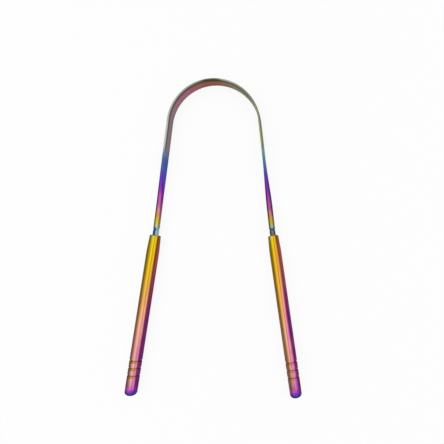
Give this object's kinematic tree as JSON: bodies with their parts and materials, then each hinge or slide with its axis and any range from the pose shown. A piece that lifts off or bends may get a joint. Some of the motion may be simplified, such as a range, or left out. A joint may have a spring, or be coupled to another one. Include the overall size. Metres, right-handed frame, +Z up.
{
  "type": "tongue scraper",
  "caption": "U-shaped tongue scraper: a wire rolled flat and bent into a springy arch, its ends set into slim round handles with grip grooves.",
  "frame": {"origin": "on the surface it lies on, under the middle of its bounding box", "axes": "+Y along the middle line towards the arch, +X towards the right handle, +Z up from the surface it lies on"},
  "size_m": [0.0898, 0.1604, 0.006],
  "materials": {
    "blade_steel": "polished stainless steel with a rainbow interference coating",
    "handle_steel": "polished stainless steel with a rainbow interference coating"
  },
  "bodies": {
    "root": {"blade": "blade_steel", "left_handle": "handle_steel", "right_handle": "handle_steel"}
  },
  "joints": []
}
